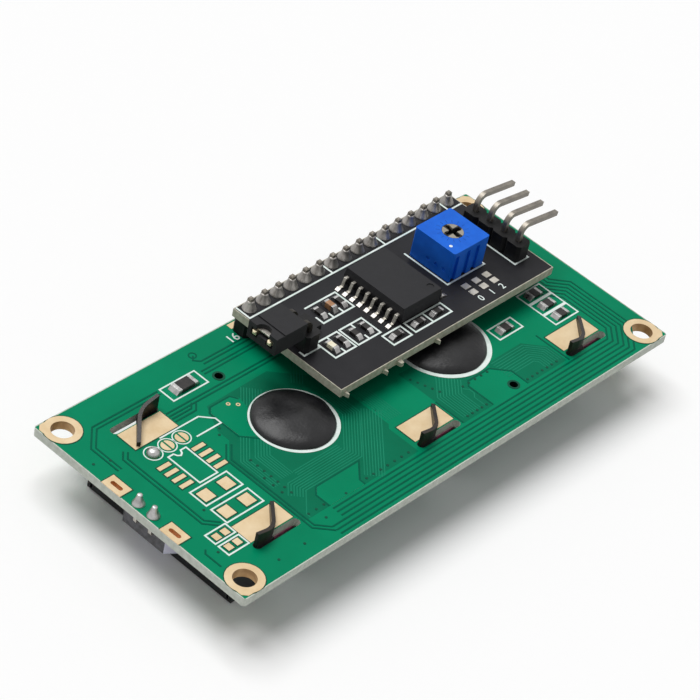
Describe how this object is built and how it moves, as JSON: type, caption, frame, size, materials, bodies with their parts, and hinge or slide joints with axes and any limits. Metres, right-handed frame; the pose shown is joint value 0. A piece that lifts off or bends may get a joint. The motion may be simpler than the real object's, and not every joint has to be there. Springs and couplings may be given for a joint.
{
  "type": "character lcd module",
  "caption": "Character display on a long board, back side up, its folded bezel underneath and a serial adapter board with a trimmer and a jumper standing on its header pins.",
  "frame": {"origin": "centre of the four mounting holes, on the front face of the display board", "axes": "+X along the display board towards the end where the four-pin header points, +Y across it towards the sixteen-pin header, +Z out of its back; the display looks along -Z"},
  "size_m": [0.08, 0.036, 0.0171],
  "materials": {
    "board_green": "solder mask over fibreglass",
    "board_black": "solder mask over fibreglass",
    "gold_pad": "gold flash on copper",
    "tin": "tinned",
    "solder": "bright solder",
    "gold_pin": "gold flash",
    "bezel_black": "satin black",
    "display_glass": "polished",
    "film": "satin",
    "white_film": "matt",
    "guide": "clear to milky",
    "holder": "satin",
    "light_chip": "satin",
    "pink_rubber": "matt",
    "resin": "glossy resin",
    "chip_black": "matt",
    "chip_body": "satin",
    "ceramic_brown": "satin",
    "block_black": "satin",
    "trimmer_blue": "satin",
    "trimmer_base": "matt",
    "rotor_cream": "satin"
  },
  "bodies": {
    "module": {"lcd_board": "board_green", "mounting_hole_rings": "gold_pad", "slotted_pads": "gold_pad", "tab_pads": "gold_pad", "circuit_pads": "gold_pad", "split_pads": "gold_pad", "bridge_solder": "solder", "bezel": "bezel_black", "front_polariser": "film", "front_glass": "display_glass", "rear_glass": "display_glass", "rear_polariser": "film", "diffuser_film": "white_film", "light_guide": "guide", "reflector_film": "white_film", "led_holder": "holder", "backlight_leds": "light_chip", "backlight_legs": "tin", "backlight_solder": "solder", "near_contact_strip": "pink_rubber", "far_contact_strip": "pink_rubber", "left_driver_blob": "resin", "right_driver_blob": "resin", "load_resistor": "chip_body", "load_resistor_ends": "solder", "board_resistors": "chip_body", "board_resistor_ends": "solder", "header_strip": "block_black", "header_pins": "gold_pin", "adapter_solder": "solder", "display_solder": "solder", "adapter_board": "board_black", "expander_body": "chip_black", "expander_leads": "tin", "expander_solder": "solder", "switch_transistor": "chip_black", "switch_leads": "tin", "trimmer_case": "trimmer_blue", "trimmer_base": "trimmer_base", "trimmer_legs": "tin", "trimmer_solder": "solder", "io_header_block": "block_black", "io_header_pins": "gold_pin", "io_header_solder": "solder", "jumper_block": "block_black", "jumper_pins": "gold_pin", "jumper_solder": "solder", "adapter_resistors": "chip_body", "adapter_resistor_ends": "solder", "adapter_capacitor": "ceramic_brown", "adapter_capacitor_ends": "solder", "power_light": "light_chip", "power_light_ends": "solder", "address_pads": "tin"},
    "rotor": {"trimmer_rotor": "rotor_cream"},
    "cap": {"jumper_cap": "block_black", "jumper_clip": "tin"}
  },
  "joints": [
    {"name": "trimmer_turn", "type": "hinge", "parent": "module", "child": "rotor", "pos_m": [0.02275, 0.0074, 0.0096], "axis": [0, 0, 1], "range_deg": [-135, 135]},
    {"name": "cap_slide", "type": "slide", "parent": "module", "child": "cap", "axis": [-1, 0, 0], "range_m": [0, 0.0065]}
  ]
}
